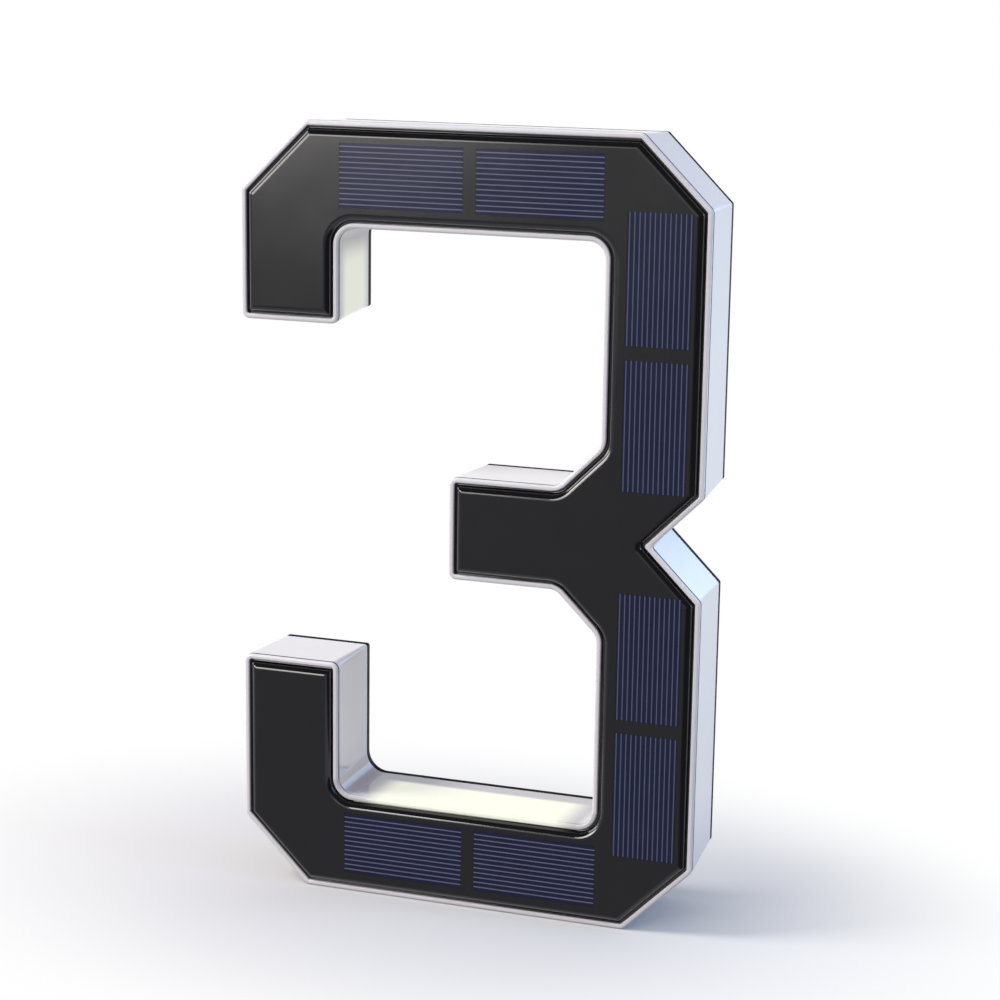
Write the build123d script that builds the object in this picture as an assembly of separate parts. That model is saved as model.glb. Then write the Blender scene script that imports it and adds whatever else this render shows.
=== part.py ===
from build123d import *
import os
from math import radians, tan

# An illuminated house number, the digit 3, with solar cells in its face.
# It is modelled on its back: x runs right, y runs up the digit, z runs from the wall to the
# viewer, and z = 0 is the back face. save() stands it up, front towards -Y.

# The digit, measured on the shell's front rim
sign_width = 97.3
sign_height = 160.0
stroke = 21.0
upper_leg = 40.3
lower_leg = 49.2
arm_reach = 52.3
corner_cut = 14.0
bay_cut = 8.7
notch_depth = 10.3

# Rounding of the digit's corners, seen from the front
corner_round = 1.6
bay_round = 3.4
notch_round = 0.6
least_round = 0.3

# The shell
shell_depth = 20.6
wall = 2.0
draft = 1.0
rim_width = 1.07
rim_height = 1.2
rim_outer_round = 0.5
rim_inner_round = 0.3
seam_from_front = 0.6
seam_width = 0.3
seam_depth = 0.25
rear_bevel = 0.3
ledge_depth = 2.8
ledge_thickness = 1.2
ledge_reach = 1.6
boss_radius = 2.3
boss_height = 8.2
boss_inset = 8.4
boss_rib = 1.4
boss_rib_reach = 6.5
pilot_radius = 1.0
pilot_depth = 7.0

# The front panel and its tape
panel_gap = 0.43
panel_fit = 0.06
panel_proud = 0.6
flange_depth = 1.0
panel_shoulder = 1.5
tape_thickness = 0.4
tape_width = 1.6

# The solar cells and their tabs
cell_length = 25.8
cell_width = 12.9
cell_thickness = 0.35
cell_fit = 0.04
cell_gap = 2.8
top_pair_shift = 0.1
upper_pair_above_mid = 38.0
lower_pair_below_mid = 37.0
bottom_pair_shift = 1.4
bottom_pair_rise = 0.2
right_pairs_shift = 0.45
ribbon_width = 1.5
ribbon_thickness = 0.2
ribbon_from_end = 1.6
ribbon_slot_gap = 0.15
waist_ribbon_shift = -6.2

# The back cover
cover_thickness = 1.5
cover_round = 0.4
lip_height = 1.6
lip_width = 1.0
lip_gap = 0.2
seal_width = 1.2
seal_thickness = 0.6
seal_inset = 0.4
entry_radius = 4.2
slot_width = 4.2
hang_distance = 4.5
hang_radius = 3.7
pocket_clearance = 0.3
pocket_depth = 3.4
pocket_wall = 0.9
screw_radius = 0.97
screw_length = 7.5
screw_head_radius = 2.0
screw_head_height = 1.0
screw_sink = 0.15
screw_clearance = 0.15

# The push switch and its cap
button_from_arm_end = 21.0
button_radius = 4.0
button_run = 0.07
button_sunk = 0.3
button_height = 3.2
button_round = 0.3
button_dish = 0.3
dish_radius_back = 2.8
dish_radius_floor = 2.4
flange_reach = 1.3
flange_thickness = 0.8
button_travel = 1.5
collar_gap = 0.3
collar_wall = 1.2
collar_height = 4.0
lip_ring_thickness = 1.0
lip_ring_run = 0.05
switch_width = 8.0
switch_height = 4.4
switch_chamfer = 0.5
bore_spare = 0.5
plunger_width = 3.0
plunger_run = 0.08
plunger_cap_fit = 0.05
plunger_seat = 1.7
plunger_inside = 1.8

# The control board
board_length = 27.0
board_width = 13.0
board_thickness = 1.2
board_from_arm_end = 9.1
board_height = 10.4
post_radius = 2.2
post_inset = 2.7
board_screw_radius = 0.95
board_screw_length = 5.0
board_screw_head_radius = 1.8
board_screw_head_height = 1.2
board_screw_round = 0.4
board_screw_clearance = 0.15
board_screw_fit = 0.02
chip_size = (4.9, 3.9, 1.5)
chip_place = (16.6, 0.0)
chip_leg = (0.5, 0.25, 0.9)
chip_leg_pitch = 1.27
inductor_radius = 2.9
inductor_core_radius = 2.2
inductor_height = 3.2
inductor_place = (8.6, 1.8)

# The battery
battery_radius = 7.0
battery_length = 43.0
battery_shift = 0.85
sleeve_lip = 0.4
pad_thickness = 0.7
pad_width = 7.0
pad_length = 22.0
cradle_thickness = 1.2
cradle_width = 12.0
cradle_height = 3.4
cradle_spacing = 30.0
cradle_gap = 0.1
tab_radius = 4.0
tab_thickness = 0.2

# The LED strips
strip_width = 5.0
strip_thickness = 0.4
strip_height = 10.6
strip_bed = 0.02
long_strip_half = 28.0
leg_strip_from_corner = 3.0
leg_strip_from_end = 5.0
right_strip_from_corner = 6.0
right_strip_from_notch = 11.0
led_length = 3.5
led_width = 2.8
led_thickness = 0.8
led_window = 1.1
led_window_depth = 0.15
led_pitch = 8.2
lead_radius = 0.45
lead_bend = 6.0
lead_wall_gap = 0.2
lead_corner_reach = 8.68
lead_drop = 8.0
pad_from_end = 1.5
lead_spacing = 2.4
lead_stand = 2.2
pad_rise = 2.4
pad_pitch = 2.5
right_strip_pads = 2.0
top_strip_pads = 10.5
battery_plus_pad = 1.5
battery_minus_pad = 4.0
solar_plus_pad = 7.0
solar_minus_pad = 9.0
solar_lane_gap = 1.0
solar_drop = 4.0

left = -sign_width / 2
right = sign_width / 2
middle = sign_height / 2
stroke_axis = right - stroke / 2
arm_end = right - arm_reach
rim_foot = shell_depth - rim_height
ledge_top = shell_depth - ledge_depth
ledge_foot = ledge_top - ledge_thickness
ledge_opening = wall + ledge_reach
panel_back = ledge_top + tape_thickness
panel_face = shell_depth + panel_proud
total_depth = panel_face
cell_back = panel_face - cell_thickness
button_x = arm_end + button_from_arm_end

os.makedirs("parts", exist_ok=True)


def save(name, shape):
    stand = Pos(0, total_depth / 2, 0) * Rot(90, 0, 0)
    export_step(stand * shape, f"parts/{name}.step")


def group(solids):
    return Compound(children=list(solids))


# ---------- the digit's outline ----------

def digit_corners():
    """The outline's corners, anticlockwise, each with its kind of rounding."""
    inner_left = left + stroke
    inner_right = right - stroke
    arm_low = middle - stroke / 2
    arm_high = middle + stroke / 2
    top = sign_height
    return [
        (left + corner_cut, 0, "edge"),
        (right - corner_cut, 0, "edge"),
        (right, corner_cut, "edge"),
        (right, middle - notch_depth, "edge"),
        (right - notch_depth, middle, "notch"),
        (right, middle + notch_depth, "edge"),
        (right, top - corner_cut, "edge"),
        (right - corner_cut, top, "edge"),
        (left + corner_cut, top, "edge"),
        (left, top - corner_cut, "edge"),
        (left, top - upper_leg, "edge"),
        (inner_left, top - upper_leg, "edge"),
        (inner_left, top - stroke, "bay"),
        (inner_right, top - stroke, "bay"),
        (inner_right, arm_high + bay_cut, "bay"),
        (inner_right - bay_cut, arm_high, "bay"),
        (arm_end, arm_high, "edge"),
        (arm_end, arm_low, "edge"),
        (inner_right - bay_cut, arm_low, "bay"),
        (inner_right, arm_low - bay_cut, "bay"),
        (inner_right, stroke, "bay"),
        (inner_left, stroke, "bay"),
        (inner_left, lower_leg, "edge"),
        (left, lower_leg, "edge"),
        (left, corner_cut, "edge"),
    ]


def corner_radius(kind, inset):
    if kind == "bay":
        return bay_round + inset
    if kind == "notch":
        return notch_round
    return max(corner_round - inset, least_round)


def outline(inset, height=0.0):
    """The digit drawn in by inset, as a face at the given height."""
    corners = digit_corners()
    points = []
    radii = []
    for index, (x, y, kind) in enumerate(corners):
        before = Vector(*corners[index - 1][:2])
        after = Vector(*corners[(index + 1) % len(corners)][:2])
        here = Vector(x, y)
        run_in = (here - before).normalized()
        run_out = (after - here).normalized()
        inward_in = Vector(-run_in.Y, run_in.X)
        inward_out = Vector(-run_out.Y, run_out.X)
        shift = (inward_in + inward_out) * (inset / (1 + inward_in.dot(inward_out)))
        points.append(here + shift)
        radii.append(corner_radius(kind, inset))
    return Pos(0, 0, height) * make_face(FilletPolyline(*points, radius=radii, close=True))


def lean(height):
    """How far the drafted wall has drawn in at a height."""
    return draft * (rim_foot - height) / (rim_foot - cover_thickness)


def slab(inset, low, high):
    return extrude(outline(inset, low), amount=high - low)


def drafted_slab(inset, low, high):
    return loft([outline(inset + lean(low), low), outline(inset + lean(high), high)], ruled=True)


def face_edges_at(shape, height):
    """The edges of the flat face that lies at a height."""
    flats = shape.faces().filter_by(Axis.Z)
    return [face for face in flats if abs(face.center().Z - height) < 1e-4][0].edges()


# ---------- places that several pieces share ----------

def boss_places():
    """Centre of each screw boss and the direction of the wall that carries it."""
    across = left + stroke / 2
    top_line = sign_height - stroke / 2
    low_line = stroke / 2
    return [
        (across, top_line, -1, 1),
        (stroke_axis, top_line, 1, 1),
        (stroke_axis, low_line, 1, -1),
        (across, low_line, -1, -1),
        (across, sign_height - upper_leg + boss_inset - wall, 0, -1),
        (across, lower_leg - boss_inset + wall, 0, 1),
        (arm_end + boss_inset - wall, middle, -1, 0),
        (right - boss_inset + wall, middle - notch_depth - boss_rib_reach, 1, 0),
    ]


def cell_places():
    """Centre and direction of each cell: True where its length runs up the digit."""
    half_pitch = (cell_length + cell_gap) / 2
    top_line = sign_height - stroke / 2
    low_line = stroke / 2 + bottom_pair_rise
    right_line = stroke_axis + right_pairs_shift
    upper = middle + upper_pair_above_mid
    lower = middle - lower_pair_below_mid
    return {
        "solar_cell_top_left": (top_pair_shift - half_pitch, top_line, False),
        "solar_cell_top_right": (top_pair_shift + half_pitch, top_line, False),
        "solar_cell_upper_high": (right_line, upper + half_pitch, True),
        "solar_cell_upper_low": (right_line, upper - half_pitch, True),
        "solar_cell_lower_high": (right_line, lower + half_pitch, True),
        "solar_cell_lower_low": (right_line, lower - half_pitch, True),
        "solar_cell_bottom_right": (bottom_pair_shift + half_pitch, low_line, False),
        "solar_cell_bottom_left": (bottom_pair_shift - half_pitch, low_line, False),
    }


def tab_places():
    """Where each cell's two tabs go through the panel, in the order of the series."""
    reach = cell_length / 2 - ribbon_from_end
    places = []
    for name, (x, y, upright) in cell_places().items():
        if upright:
            into_waist = name in ("solar_cell_upper_low", "solar_cell_lower_high")
            shift = waist_ribbon_shift if into_waist else 0
            high_shift = shift if name == "solar_cell_lower_high" else 0
            low_shift = shift if name == "solar_cell_upper_low" else 0
            places.append(((x + high_shift, y + reach), (x + low_shift, y - reach)))
        elif y > middle:
            places.append(((x - reach, y), (x + reach, y)))
        else:
            places.append(((x + reach, y), (x - reach, y)))
    return places


def keyhole_places():
    """Centre of each keyhole's round entry."""
    low = entry_radius + pocket_clearance
    rise = (hang_distance + hang_radius - low) / 2
    return [(0, sign_height - stroke / 2 - rise), (0, stroke / 2 - rise)]


# ---------- housing ----------

def diffuser_shell():
    bevel_top = cover_thickness + rear_bevel
    foot = [outline(draft + rear_bevel, cover_thickness), outline(lean(bevel_top), bevel_top)]
    body = loft(foot, ruled=True)
    body += drafted_slab(0, bevel_top, rim_foot)
    body -= drafted_slab(wall, cover_thickness, ledge_foot)
    body -= slab(ledge_opening, ledge_foot, ledge_top)
    body -= slab(rim_width, ledge_top, rim_foot)

    rim = slab(0, rim_foot, shell_depth) - slab(rim_width, rim_foot, shell_depth)
    crown = rim.faces().sort_by(Axis.Z)[-1]
    rim = fillet(crown.outer_wire().edges(), rim_outer_round)
    crown = rim.faces().sort_by(Axis.Z)[-1]
    rim = fillet(crown.inner_wires()[0].edges(), rim_inner_round)
    body += rim

    # the fine groove between the rim and the side wall
    seam_high = shell_depth - seam_from_front
    seam_low = seam_high - seam_width
    body -= slab(0, seam_low, seam_high) - slab(seam_depth, seam_low, seam_high)

    envelope = drafted_slab(wall / 2, cover_thickness, rim_foot)
    for x, y, toward_x, toward_y in boss_places():
        boss = Pos(x, y, cover_thickness) * Cylinder(
            boss_radius, boss_height, align=(Align.CENTER, Align.CENTER, Align.MIN))
        angle = Vector(1, 0).get_signed_angle(Vector(toward_x, toward_y), Vector(0, 0, 1))
        rib = Box(boss_rib_reach, boss_rib, boss_height, align=(Align.MIN, Align.CENTER, Align.MIN))
        boss += Pos(x, y, cover_thickness) * Rot(0, 0, angle) * rib
        body += boss & envelope
    for x, y, _, _ in boss_places():
        body -= Pos(x, y, cover_thickness) * Cylinder(
            pilot_radius, pilot_depth, align=(Align.CENTER, Align.CENTER, Align.MIN))
    return body


def keyhole_slot(radius_low, radius_high, half_neck, low, high):
    """A keyhole-shaped block: a round entry, a neck and a smaller round end above it."""
    height = high - low
    base = (Align.CENTER, Align.CENTER, Align.MIN)
    block = Pos(0, 0, low) * Cylinder(radius_low, height, align=base)
    block += Pos(0, hang_distance, low) * Cylinder(radius_high, height, align=base)
    neck = Box(2 * half_neck, hang_distance, height, align=(Align.CENTER, Align.MIN, Align.MIN))
    return block + Pos(0, 0, low) * neck


def cover_keyhole(cover, x, y):
    """Add one closed pocket for a screw head, with its keyhole through the plate."""
    inside = cover_thickness + pocket_depth
    slot = slot_width / 2
    room = entry_radius + pocket_clearance
    shell = keyhole_slot(room + pocket_wall, hang_radius + pocket_wall,
                         hang_radius + pocket_wall, cover_thickness, inside + pocket_wall)
    space = keyhole_slot(room, hang_radius, hang_radius, cover_thickness, inside)
    opening = keyhole_slot(entry_radius, slot, slot, 0, cover_thickness)
    cover += Pos(x, y, 0) * shell
    cover -= Pos(x, y, 0) * space
    cover -= Pos(x, y, 0) * opening
    return cover


def back_cover():
    base = (Align.CENTER, Align.CENTER, Align.MIN)
    plate = slab(draft, 0, cover_thickness)
    plate = fillet(face_edges_at(plate, 0), cover_round)
    lip_inset = draft + wall + lip_gap
    lip_top = cover_thickness + lip_height
    lip = slab(lip_inset, cover_thickness, lip_top)
    lip -= slab(lip_inset + lip_width, cover_thickness, lip_top)
    for x, y, toward_x, toward_y in boss_places():
        relief = Pos(x, y, cover_thickness) * Cylinder(boss_radius + lip_gap, lip_height, align=base)
        reach = Vector(toward_x, toward_y).normalized() * boss_rib_reach
        relief += Pos(x + reach.X, y + reach.Y, cover_thickness) * Cylinder(
            boss_rib_reach, lip_height, align=base)
        lip -= relief
    cover = plate + lip
    seat = draft + seal_inset
    groove = slab(seat, cover_thickness - seal_thickness, cover_thickness)
    groove -= slab(seat + seal_width, cover_thickness - seal_thickness, cover_thickness)
    cover -= groove
    for x, y in keyhole_places():
        cover = cover_keyhole(cover, x, y)

    # screw holes, sunk from the back
    for x, y, _, _ in boss_places():
        cover -= Pos(x, y, 0) * Cylinder(screw_radius + screw_clearance, cover_thickness, align=base)
        sink_depth = screw_sink + screw_head_height
        cover -= Pos(x, y, 0) * Cone(screw_head_radius + screw_clearance + screw_sink,
                                     screw_radius + screw_clearance, sink_depth, align=base)

    # collar round the button
    flange = button_radius + flange_reach
    collar = Pos(button_x, middle, cover_thickness) * Cylinder(
        flange + collar_gap + collar_wall, collar_height, align=base)
    collar -= Pos(button_x, middle, cover_thickness) * Cylinder(
        flange + collar_gap, collar_height, align=base)
    cover += collar
    cover -= Pos(button_x, middle, 0) * Cylinder(
        button_radius + button_run, cover_thickness, align=base)

    # posts for the control board
    for x, y in post_places():
        post = Pos(x, y, cover_thickness) * Cylinder(
            post_radius, board_height - cover_thickness, align=base)
        post -= Pos(x, y, board_height) * Cylinder(
            board_screw_radius + board_screw_fit, board_screw_length + bore_spare,
            align=(Align.CENTER, Align.CENTER, Align.MAX))
        cover += post

    # two saddles that hold the battery sideways
    for side in (-1, 1):
        y = battery_middle() + side * cradle_spacing / 2
        saddle = Pos(stroke_axis, y, cover_thickness) * Box(
            cradle_width, cradle_thickness, cradle_height, align=base)
        saddle -= battery_solid(battery_radius + cradle_gap, battery_length)
        cover += saddle
    return cover


def back_seal():
    seat = draft + seal_inset
    low = cover_thickness - seal_thickness
    ring = slab(seat, low, cover_thickness)
    return ring - slab(seat + seal_width, low, cover_thickness)


def cover_screw():
    low = screw_sink
    head = Pos(0, 0, low) * Cone(screw_head_radius, screw_radius, screw_head_height,
                                 align=(Align.CENTER, Align.CENTER, Align.MIN))
    shank = Pos(0, 0, low + screw_head_height) * Cylinder(
        screw_radius, screw_length - screw_head_height, align=(Align.CENTER, Align.CENTER, Align.MIN))
    return head + shank


# ---------- front panel and cells ----------

def cell_block(x, y, upright, grow, low, high):
    size = (cell_width, cell_length) if upright else (cell_length, cell_width)
    return Pos(x, y, low) * Box(size[0] + 2 * grow, size[1] + 2 * grow, high - low,
                                align=(Align.CENTER, Align.CENTER, Align.MIN))


def front_panel():
    flange_top = shell_depth - flange_depth
    panel = slab(rim_width + panel_gap, flange_top, panel_face)
    panel = fillet(face_edges_at(panel, panel_face), panel_shoulder)
    panel += slab(rim_width + panel_fit, panel_back, flange_top)
    for x, y, upright in cell_places().values():
        panel -= cell_block(x, y, upright, cell_fit, cell_back, panel_face)
    slot = ribbon_width + 2 * ribbon_slot_gap
    for pair in tab_places():
        for x, y in pair:
            panel -= Pos(x, y, panel_back) * Box(
                slot, slot, cell_back - panel_back, align=(Align.CENTER, Align.CENTER, Align.MIN))
    return panel


def panel_adhesive():
    inner = ledge_opening
    return slab(inner - tape_width, ledge_top, panel_back) - slab(inner, ledge_top, panel_back)


def ribbon_run(start, end):
    """A flat tab on the panel's back between two points that share an x or a y."""
    low = panel_back - ribbon_thickness
    width = abs(start[0] - end[0]) + ribbon_width
    height = abs(start[1] - end[1]) + ribbon_width
    centre = ((start[0] + end[0]) / 2, (start[1] + end[1]) / 2)
    return Pos(*centre, low) * Box(width, height, ribbon_thickness,
                                   align=(Align.CENTER, Align.CENTER, Align.MIN))


def ribbon_leg(x, y):
    low = panel_back - ribbon_thickness
    return Pos(x, y, low) * Box(ribbon_width, ribbon_thickness, cell_back - low,
                                align=(Align.CENTER, Align.CENTER, Align.MIN))


def cell_ribbons():
    """Tabs that join the cells in series, and one end tab at each end of the series."""
    pairs = tab_places()
    ribbons = []
    for (_, leave), (enter, _) in zip(pairs, pairs[1:]):
        turn = (enter[0], leave[1])
        if abs(leave[1] - middle) < abs(enter[1] - middle) and abs(leave[0] - enter[0]) > ribbon_width:
            turn = (leave[0], enter[1])
        run = ribbon_run(leave, turn) + ribbon_run(turn, enter)
        ribbons.append(run + ribbon_leg(*leave) + ribbon_leg(*enter))
    for x, y in (pairs[0][0], pairs[-1][1]):
        ribbons.append(ribbon_run((x, y), (x, y)) + ribbon_leg(x, y))
    return group(ribbons)


# ---------- leads ----------

def lead(points):
    """A wire along straight runs joined by arcs."""
    points = [Vector(*point) for point in points]
    radii = []
    for before, here, after in zip(points, points[1:], points[2:]):
        run_in = here - before
        run_out = after - here
        shorter = min(run_in.length, run_out.length)
        turn = radians(run_in.get_angle(run_out))
        radii.append(min(0.45 * shorter / tan(turn / 2), lead_bend))
    path = FilletPolyline(*points, radius=radii)
    section = Plane(path @ 0, z_dir=path % 0) * Circle(lead_radius)
    return sweep(section, path)


# ---------- switch and button ----------

def power_button():
    base = (Align.CENTER, Align.CENTER, Align.MIN)
    flange_low = button_sunk + button_height - flange_thickness
    cap = Pos(0, 0, button_sunk) * Cylinder(button_radius, button_height, align=base)
    cap = fillet(face_edges_at(cap, button_sunk), button_round)
    cap += Pos(0, 0, flange_low) * Cylinder(button_radius + flange_reach, flange_thickness, align=base)
    cap -= Pos(0, 0, button_sunk) * Cone(dish_radius_back, dish_radius_floor, button_dish, align=base)
    socket = plunger_width + 2 * plunger_cap_fit
    cap -= Pos(0, 0, plunger_seat) * Box(socket, socket, button_height, align=base)
    return Pos(button_x, middle, 0) * cap


def button_seal():
    base = (Align.CENTER, Align.CENTER, Align.MIN)
    ring = Cylinder(button_radius + flange_reach + collar_gap, lip_ring_thickness, align=base)
    ring -= Cylinder(button_radius + lip_ring_run, lip_ring_thickness, align=base)
    return Pos(button_x, middle, cover_thickness) * ring


def switch_body():
    low = board_height - switch_height
    body = Box(switch_width, switch_width, switch_height, align=(Align.CENTER, Align.CENTER, Align.MIN))
    body = chamfer(body.edges().filter_by(Axis.Z), switch_chamfer)
    bore = plunger_width + 2 * plunger_run
    depth = plunger_inside + button_travel + bore_spare
    body -= Box(bore, bore, depth, align=(Align.CENTER, Align.CENTER, Align.MIN))
    return Pos(button_x, middle, low) * body


def switch_plunger():
    top = board_height - switch_height + plunger_inside
    height = top - plunger_seat
    return Pos(button_x, middle, plunger_seat) * Box(
        plunger_width, plunger_width, height, align=(Align.CENTER, Align.CENTER, Align.MIN))


# ---------- control board ----------

def board_left():
    return arm_end + board_from_arm_end


def post_places():
    low = board_left() + post_inset
    high = board_left() + board_length - post_inset
    return [(low, middle), (high, middle)]


def control_board():
    board = Pos(board_left(), middle, board_height) * Box(
        board_length, board_width, board_thickness, align=(Align.MIN, Align.CENTER, Align.MIN))
    for x, y in post_places():
        board -= Pos(x, y, board_height) * Cylinder(
            board_screw_radius + board_screw_clearance, board_thickness,
            align=(Align.CENTER, Align.CENTER, Align.MIN))
    return board


def control_chip():
    length, width, height = chip_size
    across, thick, out = chip_leg
    base = (Align.CENTER, Align.CENTER, Align.MIN)
    chip = Pos(0, 0, thick) * Box(length, width, height - thick, align=base)
    for side in (-1, 1):
        for step in range(4):
            x = (step - 1.5) * chip_leg_pitch
            chip += Pos(x, side * (width / 2 + out / 2), 0) * Box(across, out, thick, align=base)
            chip += Pos(x, side * (width / 2 + thick / 2), 0) * Box(across, thick, height / 2, align=base)
    return Pos(board_left() + chip_place[0], middle + chip_place[1],
               board_height + board_thickness) * chip


def board_inductor():
    base = (Align.CENTER, Align.CENTER, Align.MIN)
    flange = inductor_height / 4
    coil = Cylinder(inductor_radius, flange, align=base)
    coil += Pos(0, 0, flange) * Cylinder(inductor_core_radius, 2 * flange, align=base)
    coil += Pos(0, 0, 3 * flange) * Cylinder(inductor_radius, flange, align=base)
    return Pos(board_left() + inductor_place[0], middle + inductor_place[1],
               board_height + board_thickness) * coil


def board_screw():
    top = board_height + board_thickness
    head = Pos(0, 0, top) * Cylinder(board_screw_head_radius, board_screw_head_height,
                                     align=(Align.CENTER, Align.CENTER, Align.MIN))
    shank = Pos(0, 0, top) * Cylinder(board_screw_radius, board_screw_length,
                                      align=(Align.CENTER, Align.CENTER, Align.MAX))
    return fillet(head.edges().group_by(Axis.Z)[-1], board_screw_round) + shank


# ---------- battery ----------

def battery_middle():
    """The battery lies about halfway up the straight of the upper right wall."""
    straight_low = middle + notch_depth
    straight_high = sign_height - corner_cut
    return (straight_low + straight_high) / 2 + battery_shift


def battery_axis_height():
    return cover_thickness + pad_thickness + battery_radius


def battery_solid(radius, length):
    return Pos(stroke_axis, battery_middle(), battery_axis_height()) * Rot(90, 0, 0) * Cylinder(
        radius, length)


def battery_cell():
    cell = battery_solid(battery_radius, battery_length)
    return fillet(cell.edges().filter_by(GeomType.CIRCLE), sleeve_lip)


def battery_pad():
    return Pos(stroke_axis, battery_middle(), cover_thickness) * Box(
        pad_width, pad_length, pad_thickness, align=(Align.CENTER, Align.CENTER, Align.MIN))


def battery_tabs():
    tabs = []
    for side in (-1, 1):
        y = battery_middle() + side * (battery_length + tab_thickness) / 2
        tabs.append(Pos(stroke_axis, y, battery_axis_height()) * Rot(90, 0, 0) * Cylinder(
            tab_radius, tab_thickness))
    return group(tabs)


# ---------- LED strips ----------

def wall_inset():
    """How far in a strip's back lies, against the drafted wall."""
    return wall + lean(strip_height) + strip_bed


def strip_runs():
    """Each strip: its two ends on the wall line, and the way its light faces."""
    near = wall_inset()
    top = sign_height - near
    return {
        "top": ((-long_strip_half, top), (long_strip_half, top), (0, -1)),
        "upper_leg": ((left + near, sign_height - upper_leg + leg_strip_from_end),
                      (left + near, sign_height - corner_cut - leg_strip_from_corner), (1, 0)),
        "right": ((right - near, corner_cut + right_strip_from_corner),
                  (right - near, middle - notch_depth - right_strip_from_notch), (-1, 0)),
        "bottom": ((-long_strip_half, near), (long_strip_half, near), (0, 1)),
        "lower_leg": ((left + near, corner_cut + leg_strip_from_corner),
                      (left + near, lower_leg - leg_strip_from_end), (1, 0)),
    }


def strip_block(centre, facing, along, out, offset, low, high):
    """A block that stands off the wall line, with its length along the wall."""
    size = (along, out) if facing[0] == 0 else (out, along)
    x = centre[0] + facing[0] * (offset + out / 2)
    y = centre[1] + facing[1] * (offset + out / 2)
    return Pos(x, y, low) * Box(*size, high - low, align=(Align.CENTER, Align.CENTER, Align.MIN))


def led_strip(start, end, facing):
    length = abs(end[0] - start[0]) + abs(end[1] - start[1])
    centre = ((start[0] + end[0]) / 2, (start[1] + end[1]) / 2)
    return strip_block(centre, facing, length, strip_thickness, 0, strip_height,
                       strip_height + strip_width)


def led_chips(start, end, facing):
    length = abs(end[0] - start[0]) + abs(end[1] - start[1])
    along = Vector(end[0] - start[0], end[1] - start[1]).normalized()
    count = int((length - 2 * pad_from_end - 2 * led_length) // led_pitch) + 1
    low = strip_height + (strip_width - led_width) / 2
    chips = []
    for step in range(count):
        run = length / 2 + (step - (count - 1) / 2) * led_pitch
        centre = (start[0] + along.X * run, start[1] + along.Y * run)
        chip = strip_block(centre, facing, led_length, led_thickness, strip_thickness, low,
                           low + led_width)
        inset = strip_thickness + led_thickness - led_window_depth
        chip -= strip_block(centre, facing, 2 * led_window, led_window_depth, inset,
                            low + led_width / 2 - led_window, low + led_width / 2 + led_window)
        chips.append(chip)
    return group(chips)


def strip_pad(run, at_end):
    """The point on a strip's face where a lead is soldered, and the way off it."""
    start, end, facing = run
    along = Vector(end[0] - start[0], end[1] - start[1]).normalized()
    corner = Vector(*end) - along * pad_from_end if at_end else Vector(*start) + along * pad_from_end
    return corner + Vector(*facing) * strip_thickness, Vector(*facing)


def lead_height(number):
    return strip_height + strip_width / 2 + (number - 0.5) * lead_spacing


def corner_lead(run_a, a_end, run_b, b_end, number):
    """A lead from one strip round a cut corner of the digit to the next strip."""
    z = lead_height(number)
    pad_a, off_a = strip_pad(run_a, a_end)
    pad_b, off_b = strip_pad(run_b, b_end)
    stand_a = pad_a + off_a * lead_stand
    stand_b = pad_b + off_b * lead_stand
    meet = Vector(stand_b.X, stand_a.Y) if off_a.X == 0 else Vector(stand_a.X, stand_b.Y)
    turn_a = meet + (stand_a - meet).normalized() * lead_corner_reach
    turn_b = meet + (stand_b - meet).normalized() * lead_corner_reach
    points = [pad_a, stand_a, turn_a, turn_b, stand_b, pad_b]
    return lead([(point.X, point.Y, z) for point in points])


def board_pad(side, from_right):
    """A pad near the board's upper (+1) or lower (-1) edge."""
    return (board_left() + board_length - from_right, middle + side * (board_width / 2 - pad_from_end))


def led_leads(number):
    """One pole's leads: they join the strips and feed them from the control board."""
    runs = strip_runs()
    face = board_height + board_thickness
    z = lead_height(number)
    step = pad_pitch * number

    # from the board down to the right-hand strip
    pad, off = strip_pad(runs["right"], True)
    stand = pad + off * lead_stand
    x, y = board_pad(-1, right_strip_pads + step)
    to_right = lead([(x, y, face), (x, y, face + pad_rise), (x + 1.0, y - 5.0 - step, z),
                     (stand.X, stand.Y + lead_drop - step / 2, z), (stand.X, stand.Y, z),
                     (pad.X, pad.Y, z)])

    # from the board past the battery to the top strip
    pad, off = strip_pad(runs["top"], True)
    x, y = board_pad(1, top_strip_pads + step)
    lane = right - stroke + wall + lean(strip_height) + lead_radius + lead_wall_gap
    to_top = lead([(x, y, face), (x, y, face + pad_rise), (lane - 2.3, y + 5.5, z),
                   (lane, y + 12.5, z), (lane, pad.Y - 10.0, z),
                   (pad.X, pad.Y - 3.8, z), (pad.X, pad.Y, z)])
    return group([
        to_right,
        to_top,
        corner_lead(runs["top"], False, runs["upper_leg"], True, number),
        corner_lead(runs["right"], False, runs["bottom"], True, number),
        corner_lead(runs["bottom"], False, runs["lower_leg"], False, number),
    ])


def solar_lead(tab, side, from_right):
    """A lead from one end of the series to the board, along the panel's back."""
    x, y = tab
    ribbon = panel_back - ribbon_thickness
    run_height = ribbon - lead_stand
    lane_x = right - stroke + ledge_opening + solar_lane_gap
    lane_y = middle + side * (middle - stroke + ledge_opening + solar_lane_gap)
    pad_x, pad_y = board_pad(side, from_right)
    return lead([(x, y, ribbon), (x, y, run_height), (x + 2.5, lane_y, run_height),
                 (lane_x, lane_y, run_height), (lane_x, pad_y + side * solar_drop, run_height),
                 (pad_x, pad_y, run_height), (pad_x, pad_y, board_height + board_thickness)])


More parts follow.
